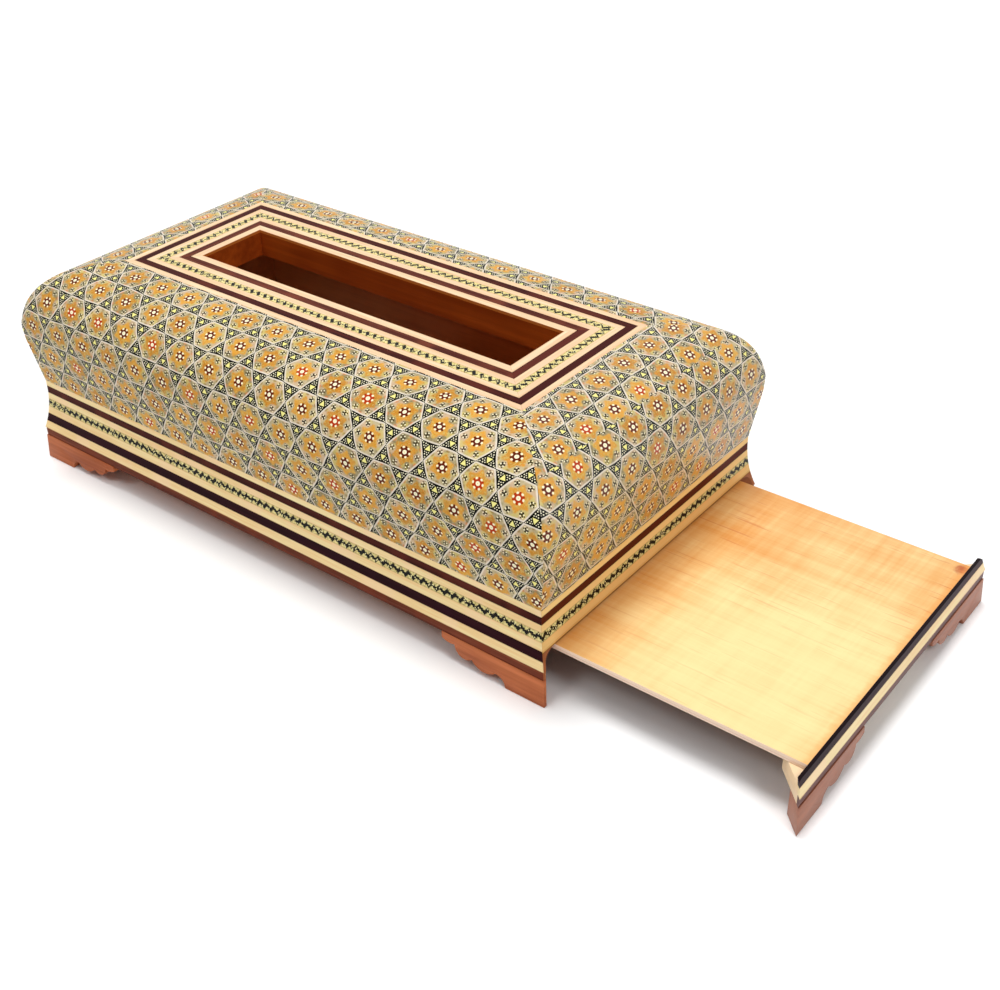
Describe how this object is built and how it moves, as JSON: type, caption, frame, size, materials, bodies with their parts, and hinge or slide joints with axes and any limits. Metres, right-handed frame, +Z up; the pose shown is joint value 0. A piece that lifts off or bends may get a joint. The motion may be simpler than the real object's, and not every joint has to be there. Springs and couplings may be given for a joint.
{
  "type": "tissue box with drawer",
  "caption": "Inlaid wooden tissue box with bellied sides, a long slot in the top, and a base drawer that slides out of one end.",
  "frame": {"origin": "under the middle of the whole object with the drawer at its rest position, on the floor plane", "axes": "+X along the box, the way the drawer slides out; +Y towards the back long side; +Z up"},
  "size_m": [0.3632, 0.1426, 0.0887],
  "materials": {
    "khatam_sheet": "gloss",
    "khatam_strip": "gloss",
    "cream_strip": "gloss",
    "dark_strip": "gloss",
    "brown_strip": "gloss",
    "liner": "satin",
    "bracket_foot": "satin",
    "drawer_foot": "satin",
    "tray_ply": "satin",
    "light_wood": "satin",
    "carcass_wood": "matte"
  },
  "bodies": {
    "box": {"front_wall": "carcass_wood", "back_wall": "carcass_wood", "left_end_wall": "carcass_wood", "right_end_wall": "carcass_wood", "top_panel": "carcass_wood", "slot_liner_front": "liner", "slot_liner_back": "liner", "slot_liner_left": "liner", "slot_liner_right": "liner", "khatam_front": "khatam_sheet", "khatam_back": "khatam_sheet", "khatam_left_end": "khatam_sheet", "khatam_right_end": "khatam_sheet", "border_cream_outer": "cream_strip", "border_dark_outer": "dark_strip", "border_cream_second": "cream_strip", "border_khatam": "khatam_strip", "border_cream_third": "cream_strip", "border_dark_inner": "dark_strip", "border_cream_inner": "cream_strip", "base_cream_first": "cream_strip", "base_dark_first": "dark_strip", "base_cream_second": "cream_strip", "base_khatam": "khatam_strip", "base_cream_third": "cream_strip", "base_dark_second": "dark_strip", "base_cream_fourth": "cream_strip", "base_brown": "brown_strip", "foot_front_left_side": "bracket_foot", "foot_front_left_end": "bracket_foot", "foot_back_left_side": "bracket_foot", "foot_back_left_end": "bracket_foot", "foot_front_right_side": "bracket_foot", "foot_back_right_side": "bracket_foot", "runner_front": "carcass_wood", "runner_back": "carcass_wood"},
    "drawer": {"drawer_tray": "tray_ply", "drawer_front_core": "light_wood", "drawer_front_dark": "dark_strip", "drawer_front_cream": "cream_strip", "drawer_front_brown": "brown_strip", "drawer_foot_front": "drawer_foot", "drawer_foot_back": "drawer_foot"}
  },
  "joints": [
    {"name": "drawer_slide", "type": "slide", "parent": "box", "child": "drawer", "axis": [1, 0, 0], "range_m": [-0.0925, 0.1075]}
  ]
}
